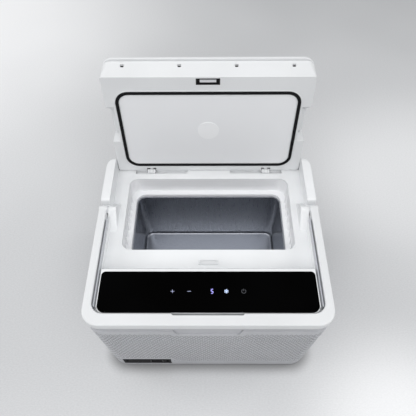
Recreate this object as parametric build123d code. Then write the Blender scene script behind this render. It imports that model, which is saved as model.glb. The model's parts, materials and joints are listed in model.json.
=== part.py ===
from build123d import *
import math
import os

# Portable compressor cooler for vaccines, lid open and bail handle folded forward.
# Frame: +X to the right, +Y to the rear, +Z up, origin on the floor under the middle of the outline
# that the body and the open lid take up together.

# ---------------------------------------------------------------- overall
body_width = 400.0
body_depth = 346.5
body_height = 247.5          # underside of the housing to the top level
foot_height = 5.0
draft = 2.0                  # degrees on the outer walls
corner_radius = 28.0         # plan corners of the housing
wall = 3.0                   # moulded housing wall
relief = 0.8                 # the textured faces stand this far proud of the smooth band
fit_gap = 0.3                # moulded piece in its seat
seat_gap = 0.2               # piece resting in a closed seat
half_width = body_width / 2
beyond = body_width          # well outside every face, for crops and cuts

# levels below the top level
part_drop = 25.0             # parting line of housing and top frame on the outside
ridge_drop = 30.5            # upper edge of the textured faces
deck_drop = 33.0             # lid seat
seam_drop = 36.0             # underside of the top frame, nested in the housing
groove_height = 1.4          # shadow groove over the parting line
groove_depth = 1.2

z_base = foot_height
z_top = foot_height + body_height
z_part = z_top - part_drop
z_ridge = z_top - ridge_drop
z_deck = z_top - deck_drop
z_seam = z_top - seam_drop

# front to back: handle bar, glass, rim and slope of the panel housing, lid, hinge
bar_width = 20.5
panel_gap = 0.9              # between handle bar and glass
panel_depth = 70.6
panel_rim_rear = 4.5
panel_slope_run = 18.0       # the rear wall of the panel housing leans back by this much
lid_front_gap = 1.8
hinge_from_rear = 13.2
panel_stack = bar_width + panel_gap + panel_depth + panel_rim_rear + panel_slope_run
pivot_from_hinge = 111.8     # handle pivot, ahead of the lid hinge

# ---------------------------------------------------------------- lid, drawn shut and then swung open
lid_open_angle = 95.8
lid_half = half_width - 19.0
lid_length = body_depth - hinge_from_rear - panel_stack - lid_front_gap
lid_overhang = 17.0          # the front leans out by this much over the lid's thickness
lid_thickness = 34.0
lid_lift = 2.0               # underside above the hinge axis and the deck
lid_heel = 1.5               # rear face from the hinge axis
lid_wall = 3.0
lid_top_radius = 19.0
lid_low_radius = 3.0
cover_wall = 2.4
cover_rim = 6.2              # height of the cover's edge
cover_step = 4.2             # the cover stands out from the slanted front by this much
cover_groove = 0.8           # fine shadow line under the cover
cover_inset = 1.8
cover_round = 2.5
cover_low_round = 1.6
cover_level = lid_thickness - cover_rim
frame_top = cover_level - cover_groove
cover_front = lid_length + lid_overhang * cover_level / lid_thickness + cover_step
boss_inner = half_width - 31.0   # pivot bosses beside the lid
boss_outer = half_width - 16.0
pocket_rear = pivot_from_hinge - 34.0   # side pockets that clear the pivot bosses
pocket_front = pivot_from_hinge + 46.0
pocket_lean = 28.0
pocket_inner = boss_inner - 2.0
gasket_half = lid_half - 18.5
gasket_rear = 14.0
gasket_front = lid_length - 28.0
gasket_width = 6.0
gasket_radius = 25.0
gasket_seat = 1.5
gasket_clear = 0.2           # left between gasket and deck
gasket_play = 0.15
bead_gap = 0.4               # fine bead outside the gasket
bead_width = 1.5
bead_height = 0.9
plug_radius = 19.5
plug_from_hinge = 104.0
plug_rim = 1.0
lid_screw_pitch = 96.0
lid_screw_rise = 20.5
lid_screw_boss = 5.0
latch_from_hinge = lid_length - 8.7
latch_bezel_size = (41.0, 12.5)
latch_bezel_height = 18.0
latch_recess_size = (37.5, 10.0)
latch_tongue_size = (28.0, 5.0)
latch_tongue_reach = 3.2
latch_chamber_top = 16.5
latch_depth = 5.0
latch_travel = 2.5
catch_size = (35.5, 8.4, 3.5)

# the open lid leans back over the rear edge; its reach behind the hinge sets the origin
lid_lean = math.radians(lid_open_angle - 90)
lid_reach = ((cover_front - cover_round) * math.sin(lid_lean)
             + (lid_lift + lid_thickness - cover_round) * math.cos(lid_lean) + cover_round)
y_front = -(body_depth - hinge_from_rear + lid_reach) / 2
y_rear = y_front + body_depth
y_mid = (y_front + y_rear) / 2
y_hinge = y_rear - hinge_from_rear
z_hinge = z_deck
hinge_axis = Axis((0, y_hinge, z_hinge), (1, 0, 0))

# ---------------------------------------------------------------- handle
handle_height = 14.5
handle_rest_gap = 1.5        # folded handle above its rail
arm_width = 13.5
handle_outer_radius = 28.0
handle_inner_radius = 20.0
handle_wall = 2.5
handle_round = 2.2           # upper edges
arm_end_radius = 5.0         # plan corners at the pivots
ear_radius = handle_height / 2
notch_half = 60.0            # finger notch in the bar
notch_depth = 4.0
notch_height = 10.0
notch_lean = 5.0
rib_width = 2.2              # upright rib of the lower handle shell
rib_gap = 2.3                # slot between rib and arm
rib_drop = 4.0
rib_start = 12.5             # behind the inner edge of the bar
rib_stop = 20.0              # ahead of the pivot
pivot_pin_radius = 3.0
pivot_bush_wall = 1.6
pivot_head_radius = 5.0
pivot_head_depth = 3.5       # counterbore in the outer face of the ear
bush_flange_radius = 6.9
running_gap = 0.05           # radial clearance of pins that turn

y_pivot = y_hinge - pivot_from_hinge
z_pivot = z_top - ear_radius
x_arm = half_width - arm_width
z_handle = z_top - handle_height
z_rail = z_handle - handle_rest_gap

# ---------------------------------------------------------------- top frame
panel_half = half_width - 23.5   # control glass
panel_rim_side = 1.4
panel_rear_radius = 7.0
panel_front_radius = 12.0
glass_thickness = 2.2
shoulder_from_pivot = 16.0
shoulder_inner = half_width - 17.0
shoulder_round = 14.0
shoulder_front_round = 5.0
boss_run = 31.5              # foot of the boss from the pivot
boss_flat = 6.0
boss_drop = 3.0
boss_round = 3.0
rail_inner = half_width - 17.5
opening_half = gasket_half - 5.5   # mouth of the cavity
opening_from_hinge = 19.8
opening_depth = lid_length - 55.0
opening_radius = 16.0

y_panel_front = y_front + bar_width + panel_gap
y_panel_rear = y_panel_front + panel_depth
y_housing_rear = y_panel_rear + panel_rim_rear
y_slope_foot = y_housing_rear + panel_slope_run
y_shoulder = y_pivot + shoulder_from_pivot
y_open_rear = y_hinge - opening_from_hinge
y_open_front = y_open_rear - opening_depth
housing_half = panel_half + panel_rim_side

# ---------------------------------------------------------------- cavity
liner_wall = 2.5
ledge_drop = 39.0            # below the deck
ledge_side = 10.0
ledge_end = 10.0
lip_height = 5.0
lip_wall = 2.0
tank_wall = 1.2
tank_step = 2.0              # the tank stands in from the lip
tank_radius = 18.0
floor_foam = 21.8            # insulation under the tank
tank_flange = 8.0
rib_count = 8
rib_pitch = (opening_depth - 34.0) / rib_count
rib_reach = 4.5
liner_rib_length = 0.92      # of the pitch, along the ledge
liner_rib_tip = 0.75
coil_count = 5
coil_height = 8.0
coil_depth = 5.0
coil_start = 22.0            # below the rim of the tank
coil_end = 24.0              # above its floor

z_ledge = z_deck - ledge_drop
z_tank_top = z_ledge - liner_wall - lip_height
tank_depth = z_tank_top - z_base - wall - floor_foam - tank_wall
z_tank_floor = z_tank_top - tank_depth
coil_pitch = (tank_depth - coil_start - coil_end) / (coil_count - 1)
mouth_half = opening_half - ledge_side
y_mouth_front = y_open_front + ledge_end
y_mouth_rear = y_open_rear - ledge_end
tank_half = mouth_half - tank_step
y_tank_front = y_mouth_front + tank_step
y_tank_rear = y_mouth_rear - tank_step


# ---------------------------------------------------------------- hinge
hinge_x = lid_half - 65.5
hinge_barrel_radius = 5.0
hinge_barrel_length = 6.0
hinge_ear_width = 3.8
hinge_side_gap = 0.35
hinge_pin_radius = 2.0
hinge_head_radius = 3.2
hinge_notch_half = 9.5       # room in the lid round each hinge
hinge_room = 3.0             # over the barrel
leaf_length = 17.5
well_inner = hinge_x - 72.5
well_outer = hinge_x + 32.5
well_depth = 9.0
well_front = 6.0             # from the hinge axis
well_rear = 9.2
rear_relief = 1.0

# ---------------------------------------------------------------- machine bay
bay_wall_thickness = 2.5
vent_from_front = 30.0
vent_length = 70.0
vent_low = 70.0
vent_height = 110.0
slat_count = 9
inlet_left = 32.0 - half_width
inlet_width = 94.0
inlet_low = 5.5
inlet_height = 33.3
socket_x = inlet_left + 65.7
socket_half = (13.0, 9.0)
socket_rim = 2.5
fan_radius = 40.0
fan_frame_depth = 25.0
fan_hub_radius = 15.0
fan_shaft_radius = 1.5
fan_tip_gap = 1.2
blade_count = 7
blade_root_pitch = 48.0      # degrees
blade_tip_pitch = 66.0
blade_root = (15.0, 2.0)     # chord and thickness
blade_tip = (24.0, 1.4)
compressor_radius = 45.0
compressor_height = 118.0
compressor_dome = 22.0
compressor_lip = 3.0         # weld seam beyond the shell
stub_radius = 3.2
drier_radius = 8.0
drier_tube_radius = 2.5
compressor_x = half_width - 122.0


# ---------------------------------------------------------------- helpers
def slab(x0, x1, y0, y1, z0, z1):
    """Block between two corners."""
    return Pos((x0 + x1) / 2, (y0 + y1) / 2, (z0 + z1) / 2) * Box(x1 - x0, y1 - y0, z1 - z0)


def round_slab(half, y0, y1, z0, z1, radius):
    """Upright block, centred across the width, with rounded plan corners."""
    outline = Pos(0, (y0 + y1) / 2) * RectangleRounded(2 * half, y1 - y0, radius)
    return Pos(0, 0, z0) * extrude(outline, z1 - z0)


def yz_face(points, rounds=None):
    """Side outline in the YZ plane; rounds maps the index of a corner to its radius."""
    sketch = Polygon(*points, align=None)
    for index, radius in (rounds or {}).items():
        corner = Vector(points[index][0], points[index][1])
        nearest = min(sketch.vertices(), key=lambda v: (Vector(v.X, v.Y) - corner).length)
        sketch = fillet(nearest, radius)
    return sketch


def x_prism(points, x0, x1, rounds=None):
    """Extrude a side outline from x0 to x1."""
    face = Plane.YZ * yz_face(points, rounds)
    return Pos(x0, 0, 0) * extrude(face, x1 - x0, dir=(1, 0, 0))


def x_rod(x0, x1, y, z, radius):
    """Round bar along X."""
    return Pos((x0 + x1) / 2, y, z) * Rot(0, 90, 0) * Cylinder(radius, x1 - x0)


def z_rod(x, y, z0, z1, radius):
    """Round bar along Z."""
    return Pos(x, y, (z0 + z1) / 2) * Cylinder(radius, z1 - z0)


def both_sides(shape):
    """The shape and its mirror image in the middle plane."""
    return shape + mirror(shape, about=Plane.YZ)


def wall_inset(z):
    """How far the drafted outer wall stands in at height z."""
    return (z_top - z) * math.tan(math.radians(draft))


def body_section(z, offset):
    inset = wall_inset(z) + offset
    outline = RectangleRounded(body_width - 2 * inset, body_depth - 2 * inset, corner_radius - offset)
    return Pos(0, y_mid, z) * outline


def body_block(z0, z1, offset=0.0):
    """The drafted outer form of the body between two levels, drawn in by offset."""
    return loft([body_section(z0, offset), body_section(z1, offset)])


def wall_patch(x0, x1, y0, y1, z0, z1, outer=0.0, inner=wall):
    """The part of the housing wall that lies inside a block."""
    ring = body_block(z0, z1, outer) - body_block(z0, z1, inner)
    return ring & slab(x0, x1, y0, y1, z0, z1)


def swing_open(shape):
    """Turn a lid piece, drawn shut, to the open stop."""
    return shape.rotate(hinge_axis, -lid_open_angle)


# ---------------------------------------------------------------- housing
scoop_half_low = 51.0
scoop_half_high = 57.0
scoop_depth = 2.4            # behind the smooth band
scoop_round = 10.0
scoop_top = z_part + 1.0
scoop_low = z_top - 50.6
scoop_sill = 1.2             # fall of the lower edge
vent_y0 = y_front + vent_from_front
vent_y1 = vent_y0 + vent_length
inlet_right = inlet_left + inlet_width
inlet_z0 = z_base + inlet_low
inlet_z1 = inlet_z0 + inlet_height
bay_rear = y_slope_foot - bay_wall_thickness
foot_radius = 12.0
foot_stem_radius = 4.0
foot_x = half_width - 32.0
foot_y = body_depth / 2 - 33.25
foot_places = [(x, y) for x in (-foot_x, foot_x) for y in (y_mid - foot_y, y_mid + foot_y)]
service_lap = 8.0
service_half = foot_x - foot_radius - service_lap - 2
service_front = y_front + wall_inset(z_base) + 9.5
service_rear = bay_rear - 6.0
plate_thickness = 1.5
screw_inset = 4.0
plate_screw_radius = 1.7


def scoop(extra):
    """Shallow finger recess below the parting line, grown by extra on every side."""
    front = y_front - 2
    back = y_front + wall_inset(z_ridge) + relief + scoop_depth + extra
    low = scoop_low - extra
    side = [(front, scoop_top), (back, scoop_top), (back, low + scoop_sill), (front, low)]
    top = scoop_top + 1
    face = Polygon((-scoop_half_high - extra, top), (scoop_half_high + extra, top),
                   (scoop_half_low + extra, low), (-scoop_half_low - extra, low), align=None)
    face = fillet(face.vertices().group_by(Axis.Y)[0], scoop_round + extra)
    window = extrude(Plane.XZ.offset(1 - front) * face, back - front + 2, dir=(0, 1, 0))
    return x_prism(side, -beyond, beyond) & window


def outer_shell():
    shell = body_block(z_base, z_part) - body_block(z_base + wall, z_part + 1, wall)
    shell += scoop(wall) & body_block(z_base, z_part)
    shell -= body_block(z_ridge, z_part + 1) - body_block(z_ridge, z_part + 1, relief)
    shell -= scoop(0)
    # the rear wall steps down between the shoulders
    reach = shoulder_inner + fit_gap
    shell -= slab(-reach, reach, y_hinge, y_rear + 1, z_seam, z_part + 1)
    for sign in (-1, 1):
        x = sorted((sign * body_width / 4, sign * half_width))
        shell -= slab(x[0], x[1], vent_y0 - fit_gap, vent_y1 + fit_gap,
                      z_base + vent_low - fit_gap, z_base + vent_low + vent_height + fit_gap)
    shell -= slab(inlet_left - fit_gap, inlet_right + fit_gap, y_front - 1, y_front + 20,
                  inlet_z0 - fit_gap, inlet_z1 + fit_gap)
    shell -= slab(-service_half, service_half, service_front, service_rear, z_base - 1, z_base + wall + 1)
    for x, y in foot_places:
        shell -= z_rod(x, y, z_base - 1, z_base + wall + 1, foot_stem_radius)
    for x, y in plate_screw_places():
        shell -= z_rod(x, y, z_base - 1, z_base + wall + 1, plate_screw_radius)
    return shell


def rubber_feet():
    feet = []
    for x, y in foot_places:
        pad = z_rod(x, y, 0, foot_height, foot_radius)
        pad = chamfer(pad.edges().group_by(Axis.Z)[0], 1.2)
        feet.append(pad + z_rod(x, y, foot_height, z_base + wall, foot_stem_radius))
    return feet[0] + feet[1] + feet[2] + feet[3]


def plate_screw_places():
    xs = (-service_half - screw_inset, 0, service_half + screw_inset)
    return [(x, y) for x in xs for y in (service_front - screw_inset, service_rear + screw_inset)]


def base_plate():
    plate = slab(-service_half - service_lap, service_half + service_lap, service_front - service_lap,
                 service_rear + service_lap, z_base - plate_thickness, z_base)
    for row in range(6):
        y = service_front + 14 + row * 9
        slot = extrude(Pos(-75, y) * SlotOverall(90, 4), 2 * plate_thickness, both=True)
        plate -= Pos(0, 0, z_base) * slot
    for x, y in plate_screw_places():
        plate -= z_rod(x, y, z_base - 5, z_base + 1, plate_screw_radius)
    for x, y in grommet_places:
        plate -= z_rod(x, y, z_base - 5, z_base + 1, stud_radius)
    return plate


def pan_screw(radius, head_radius, head_height, length):
    """Screw with its head below the origin and its shank going up."""
    head = Pos(0, 0, -head_height / 2) * Cylinder(head_radius, head_height)
    shank = Pos(0, 0, length / 2) * Cylinder(radius, length)
    return head + shank - Pos(0, 0, -head_height) * Box(head_radius, 0.8, 1.2)


def plate_screws():
    screws = Part()
    for x, y in plate_screw_places():
        screws += Pos(x, y, z_base - plate_thickness) * pan_screw(
            plate_screw_radius, 3.2, 1.4, plate_thickness + wall)
    return screws


# ---------------------------------------------------------------- top frame
tray_half = panel_half - 10.5
tray_depth = 9.0
tray_radius = 6.0
y_tray_front = y_panel_front + 10
y_tray_rear = y_panel_rear - 8


def panel_outline(half, y0, y1, z0, z1):
    """Control panel plan: large radii at the front, small ones at the rear."""
    sketch = Pos(0, (y0 + y1) / 2) * Rectangle(2 * half, y1 - y0)
    sketch = fillet(sketch.vertices().group_by(Axis.Y)[0], panel_front_radius)
    sketch = fillet(sketch.vertices().group_by(Axis.Y)[-1], panel_rear_radius)
    return Pos(0, 0, z0) * extrude(sketch, z1 - z0)


def housing_form(inset):
    """Panel housing: upright front and sides, rear wall leaning back."""
    low = z_seam - 1
    run = panel_slope_run * (z_deck - low) / deck_drop
    side = [(y_panel_front + inset, low), (y_panel_front + inset, z_top - inset),
            (y_housing_rear - inset, z_top - inset), (y_slope_foot + run - inset, low)]
    form = x_prism(side, -housing_half + inset, housing_half - inset)
    upright = [e for e in form.edges().filter_by(Axis.Z) if e.center().Y < y_panel_front + inset + 1]
    return fillet(upright, panel_front_radius)


def frame_skin():
    """Outer form of the top frame: over the housing wall above the parting line, nested inside it
    below, and out to the rear face between the shoulders, where the housing steps down."""
    skin = body_block(z_part, z_top, relief) + body_block(z_seam, z_part, wall + fit_gap)
    rear = body_block(z_seam, z_part, relief)
    return skin + (rear & slab(-shoulder_inner, shoulder_inner, y_hinge, y_rear + 1, z_seam, z_part))


def pivot_boss():
    """Tent-shaped boss beside the lid that carries the handle pivot."""
    flat = boss_flat / 2
    z_boss = z_top - boss_drop
    side = [(y_pivot + boss_run, z_seam), (y_pivot + boss_run, z_deck), (y_pivot + flat, z_boss),
            (y_pivot - flat, z_boss), (y_pivot - boss_run, z_deck), (y_pivot - boss_run, z_seam)]
    return x_prism(side, boss_inner, boss_outer, {2: boss_round, 3: boss_round})


def shoulder():
    """Raised rear end of a side rail, hollow from below."""
    side = [(y_shoulder, z_seam), (y_shoulder, z_top), (y_rear, z_top), (y_rear, z_seam)]
    form = x_prism(side, shoulder_inner, beyond, {1: shoulder_front_round, 2: shoulder_round})
    y0 = y_shoulder + wall
    y1 = y_rear - 2 * wall - relief - wall_inset(z_seam)
    core = x_prism([(y0, z_seam - 1), (y0, z_top - wall), (y1, z_top - wall), (y1, z_seam - 1)],
                   shoulder_inner + wall, half_width - 2 * wall - fit_gap - wall_inset(z_seam),
                   {1: shoulder_front_round - wall + 1, 2: shoulder_round - wall})
    return form - core


def top_frame():
    skin = frame_skin()
    # deck, handle rail, shoulders, pivot bosses and panel housing
    frame = skin & slab(-beyond, beyond, y_front, y_rear + 1, z_seam, z_deck)
    rail = skin & (slab(rail_inner, beyond, y_front, y_shoulder, z_seam, z_rail)
                   + slab(-beyond, -rail_inner, y_front, y_shoulder, z_seam, z_rail)
                   + slab(-beyond, beyond, y_front, y_housing_rear - 6, z_seam, z_rail))
    frame = frame + rail + (both_sides(shoulder()) & skin) + both_sides(pivot_boss())
    frame += housing_form(0) & slab(-beyond, beyond, y_front, y_rear, z_seam, z_top + 1)
    # hollow underside of rail and panel housing
    z_hollow = z_rail - wall
    hollow = body_block(z_seam - 1, z_hollow, 2 * wall + fit_gap) & (
        slab(rail_inner + wall, beyond, y_front, y_shoulder - wall, z_seam - 1, z_hollow)
        + slab(-beyond, -rail_inner - wall, y_front, y_shoulder - wall, z_seam - 1, z_hollow)
        + slab(-beyond, beyond, y_front, y_housing_rear - 8, z_seam - 1, z_hollow))
    frame -= hollow
    z_seat = z_top - glass_thickness
    frame -= housing_form(wall) & slab(-beyond, beyond, y_front, y_rear, z_seam - 2, z_seat - wall)
    # room for the back wall of the finger recess
    frame -= scoop(wall + fit_gap) & slab(-beyond, beyond, y_front - 5, y_rear, z_seam - 1, z_part)
    # seat and window of the control glass
    frame -= panel_outline(panel_half + seat_gap, y_panel_front - 20, y_panel_rear + seat_gap,
                           z_seat, z_top + 1)
    frame -= round_slab(tray_half + seat_gap, y_tray_front - seat_gap, y_tray_rear + seat_gap,
                        z_seat - wall - 1, z_seat + 1, tray_radius + seat_gap)
    # shadow groove over the parting line
    frame -= body_block(z_part, z_part + groove_height, relief - 1) - body_block(
        z_part - 1, z_part + groove_height + 1, relief + groove_depth)
    # mouth of the cavity
    frame -= round_slab(opening_half, y_open_front, y_open_rear, z_seam - 1, z_deck + 1, opening_radius)
    # hinge wells
    z_well = z_deck - well_depth
    tub = slab(well_inner - liner_wall, well_outer + liner_wall, y_hinge - well_front - liner_wall,
               y_hinge + well_rear + 0.5, z_well - liner_wall, z_seam)
    well = slab(well_inner, well_outer, y_hinge - well_front, y_hinge + well_rear - 2, z_well, z_deck + 1)
    tub = tub & body_block(z_well - liner_wall, z_seam, wall + fit_gap)
    frame = frame + both_sides(tub) - both_sides(well)
    frame -= slab(-shoulder_inner, shoulder_inner, y_hinge - 3, y_rear + 1, z_deck - rear_relief, z_deck + 1)
    # bores for the handle pins
    return frame - both_sides(x_rod(boss_inner + 2, beyond, y_pivot, z_pivot, pivot_pin_radius))


# ---------------------------------------------------------------- control panel
board_half = 78.0
board_thickness = 1.6
board_drop = 4.0             # board below the glass
tray_wall = 2.0


def control_glass():
    return panel_outline(panel_half, y_panel_front, y_panel_rear, z_top - glass_thickness, z_top)


# ---------------------------------------------------------------- cavity
def ring_block(half, y0, y1, z0, z1, radius, thickness):
    """Upright tube of rounded plan around the given inner outline."""
    outer = round_slab(half + thickness, y0 - thickness, y1 + thickness, z0, z1, radius + thickness)
    return outer - round_slab(half, y0, y1, z0 - 1, z1 + 1, radius)


def liner_rib(y):
    """One slanted rib of the liner wall: a thin wedge that grows towards the ledge."""
    x = opening_half + 0.5
    far = y + liner_rib_length * rib_pitch
    foot = Polyline((x, y, z_ledge), (x - rib_reach, y, z_ledge), (x, far, z_ledge), close=True)
    return loft([make_face(foot), Vertex(x, y + liner_rib_tip * rib_pitch, z_seam - 3)])


def cavity_liner():
    liner = ring_block(opening_half, y_open_front, y_open_rear, z_ledge, z_seam, opening_radius, liner_wall)
    ledge = round_slab(opening_half + liner_wall, y_open_front - liner_wall, y_open_rear + liner_wall,
                       z_ledge - liner_wall, z_ledge, opening_radius + liner_wall)
    ledge -= round_slab(mouth_half, y_mouth_front, y_mouth_rear, z_ledge - liner_wall - 1, z_ledge + 1,
                        tank_radius)
    lip = ring_block(mouth_half, y_mouth_front, y_mouth_rear, z_tank_top, z_ledge - liner_wall,
                     tank_radius, lip_wall)
    liner = liner + ledge + lip
    first = (y_open_front + y_open_rear) / 2 - rib_count * rib_pitch / 2
    for i in range(rib_count):
        liner += both_sides(liner_rib(first + i * rib_pitch))
    return liner


def inner_tank():
    radius = tank_radius - tank_step
    outer = round_slab(tank_half + tank_wall, y_tank_front - tank_wall, y_tank_rear + tank_wall,
                       z_tank_floor - tank_wall, z_tank_top, radius + tank_wall)
    outer = fillet(outer.edges().group_by(Axis.Z)[0], 6)
    inner = round_slab(tank_half, y_tank_front, y_tank_rear, z_tank_floor, z_tank_top + 10, radius)
    inner = fillet(inner.edges().group_by(Axis.Z)[0], 6 - tank_wall)
    flange = ring_block(tank_half, y_tank_front, y_tank_rear, z_tank_top - tank_wall, z_tank_top,
                        radius, tank_flange)
    return outer + flange - inner


def coil_level(i):
    return z_tank_top - coil_start - i * coil_pitch


def evaporator_coil():
    """Flat tube wound round the tank, turn joined to turn by short risers."""
    radius = tank_radius - tank_step + tank_wall
    coil = Part()
    for i in range(coil_count):
        z = coil_level(i)
        coil += ring_block(tank_half + tank_wall, y_tank_front - tank_wall, y_tank_rear + tank_wall,
                           z - coil_height / 2, z + coil_height / 2, radius, coil_depth)
    for i in range(coil_count - 1):
        x = 40.0 + 14 * i
        coil += slab(x - 4, x + 4, y_tank_front - tank_wall - coil_depth, y_tank_front - tank_wall,
                     coil_level(i + 1), coil_level(i))
    return coil


def foam_insulation():
    """Moulded foam between housing and tank; it carries the tank on its floor."""
    foam = body_block(z_base + wall, z_seam, wall + fit_gap) & slab(
        -beyond, beyond, bay_rear + bay_wall_thickness, y_rear, z_base + wall, z_seam)
    room = coil_depth + tank_wall + fit_gap
    radius = tank_radius - tank_step + room
    foam -= round_slab(tank_half + room, y_tank_front - room, y_tank_rear + room,
                       z_tank_floor - tank_wall, z_tank_top - tank_wall, radius)
    reach = liner_wall + fit_gap
    foam -= round_slab(opening_half + reach, y_open_front - reach, y_open_rear + reach,
                       z_tank_top - tank_wall - fit_gap, z_seam + 1, opening_radius + reach)
    z_tub = z_deck - well_depth - liner_wall - fit_gap
    tub = slab(well_inner - liner_wall - fit_gap, well_outer + liner_wall + fit_gap,
               y_hinge - well_front - liner_wall - fit_gap, y_rear, z_tub, z_seam + 1)
    foam -= both_sides(tub)
    return foam


def bay_wall():
    """Upright partition between the machine bay and the foam."""
    block = body_block(z_base + wall, z_seam, wall + fit_gap)
    return block & slab(-beyond, beyond, bay_rear, bay_rear + bay_wall_thickness, z_base + wall, z_seam)


# ---------------------------------------------------------------- machine bay
bay_y = (y_front + wall + bay_rear) / 2
z_bay = z_base                      # top of the base plate


def vent_grille(sign):
    """Louvred insert, flush with the drafted side wall."""
    low = z_base + vent_low
    high = low + vent_height
    x = sorted((sign * body_width / 4, sign * half_width))
    grille = wall_patch(x[0], x[1], vent_y0, vent_y1, low, high)
    pitch = (vent_height - 8) / slat_count
    for i in range(slat_count):
        z = low + 4 + (i + 0.5) * pitch
        slot = slab(x[0], x[1], vent_y0 + 5, vent_y1 - 5, z - 0.28 * pitch, z + 0.28 * pitch)
        grille -= slot
    return grille


def inlet_plate():
    """Dark plate at the lower left of the front, with the socket window and two screw holes."""
    plate = wall_patch(inlet_left, inlet_right, y_front, y_front + 20, inlet_z0, inlet_z1, relief * 0.6)
    zc = (inlet_z0 + inlet_z1) / 2
    w, h = socket_half
    plate -= slab(socket_x - w, socket_x + w, y_front - 1, y_front + 20, zc - h, zc + h)
    for x in inlet_screw_x:
        plate -= Pos(x, y_front, zc) * Rot(90, 0, 0) * Cylinder(1.5, 60)
    return plate


inlet_screw_x = (inlet_left + 7, inlet_right - 7)


def inlet_screws():
    zc = (inlet_z0 + inlet_z1) / 2
    y_face = y_front + wall_inset(zc) + relief * 0.6
    screws = Part()
    for x in inlet_screw_x:
        screws += Pos(x, y_face - 0.6, zc) * Rot(-90, 0, 0) * pan_screw(1.5, 2.8, 1.0, 9)
    return screws


def power_socket():
    """Three-pin low-voltage inlet seated in the plate."""
    zc = (inlet_z0 + inlet_z1) / 2
    y_face = y_front + wall_inset(inlet_z1)
    w, h = socket_half
    body = slab(socket_x - w, socket_x + w, y_face + 0.6, y_face + 22, zc - h, zc + h)
    w -= socket_rim
    h -= socket_rim
    body -= slab(socket_x - w, socket_x + w, y_face - 1, y_face + 14, zc - h, zc + h)
    for dx in (-6, 0, 6):
        body += slab(socket_x + dx - 0.6, socket_x + dx + 0.6, y_face + 5, y_face + 15, zc - 2.2, zc + 2.2)
    return body


def power_board():
    """Inverter board standing on the bay floor behind the inlet."""
    y0 = y_front + 34
    y1 = y0 + board_thickness
    board = slab(inlet_left + 2, inlet_right - 2, y0, y1, z_bay + wall, z_bay + 66)
    for i, dx in enumerate((12, 30, 67, 80)):
        board += Pos(inlet_left + dx, y1 + 7, z_bay + 24 + 9 * (i % 2)) * Rot(90, 0, 0) * Cylinder(6.5, 14)
    board += slab(inlet_left + 41, inlet_left + 59, y1, y1 + 14, z_bay + 14, z_bay + 50)
    return board


condenser_x0 = 32.0 - half_width
condenser_x1 = condenser_x0 + 40.0
fan_x = condenser_x1 + 32.0
condenser_z0 = z_base + vent_low + 4
condenser_z1 = condenser_z0 + 100.0
fin_count = 14


def condenser():
    """Flat-tube condenser: two headers, tubes between them and fins across."""
    y0 = y_front + 20
    y1 = bay_rear - 8
    block = slab(condenser_x0, condenser_x1, y0, y0 + 5, condenser_z0, condenser_z1)
    block += slab(condenser_x0, condenser_x1, y1 - 5, y1, condenser_z0, condenser_z1)
    for i in range(5):
        z = condenser_z0 + 10 + i * (condenser_z1 - condenser_z0 - 20) / 4
        block += slab(condenser_x0 + 4, condenser_x1 - 4, y0, y1, z - 2, z + 2)
    pitch = (y1 - y0 - 10) / fin_count
    for i in range(fin_count):
        y = y0 + 5 + (i + 0.5) * pitch
        block += slab(condenser_x0 + 1, condenser_x1 - 1, y - 0.5, y + 0.5,
                      condenser_z0 + 4, condenser_z1 - 4)
    return block


def fan_shroud():
    """Duct from the condenser to the fan, on two legs screwed to the bay floor."""
    x0 = condenser_x1
    x1 = fan_x - fan_frame_depth / 2
    low = fan_z - fan_half
    high = fan_z + fan_half
    duct = slab(x0, x1, fan_y - fan_half + 3, fan_y + fan_half - 3, low, high)
    duct -= slab(x0 - 1, x1 + 1, fan_y - fan_half + 5, fan_y + fan_half - 5, low + 2, high - 2)
    for y in (fan_y - 2, fan_y + fan_half - 13):
        duct += slab(x0, x0 + 2, y, y + 10, z_bay, low)
        duct += slab(x0, x0 + 12, y, y + 10, z_bay, z_bay + 2)
    return duct


fan_y = bay_y
fan_z = (condenser_z0 + condenser_z1) / 2
fan_half = fan_radius + 4.5


def fan_frame():
    """Square shroud with the motor seat on four arms."""
    x0 = fan_x - fan_frame_depth / 2
    x1 = fan_x + fan_frame_depth / 2
    frame = slab(x0, x1, fan_y - fan_half + 3, fan_y + fan_half - 3, fan_z - fan_half, fan_z + fan_half)
    frame = fillet(frame.edges().filter_by(Axis.X), 5)
    frame -= x_rod(x0 - 1, x1 + 1, fan_y, fan_z, fan_radius)
    arms = slab(x1 - 3, x1, fan_y - 2.5, fan_y + 2.5, fan_z - fan_half + 1, fan_z + fan_half - 1)
    arms += slab(x1 - 3, x1, fan_y - fan_half + 4, fan_y + fan_half - 4, fan_z - 2.5, fan_z + 2.5)
    motor = x_rod(x1 - 6, x1, fan_y, fan_z, fan_hub_radius - 1)
    frame = frame + arms + motor
    frame -= x_rod(x0, x1 - 1, fan_y, fan_z, fan_shaft_radius + running_gap)
    for y in (-1, 1):
        for z in (-1, 1):
            frame -= x_rod(x0 - 1, x1 + 1, fan_y + y * (fan_half - 8), fan_z + z * (fan_half - 5), 1.8)
    return frame


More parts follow.
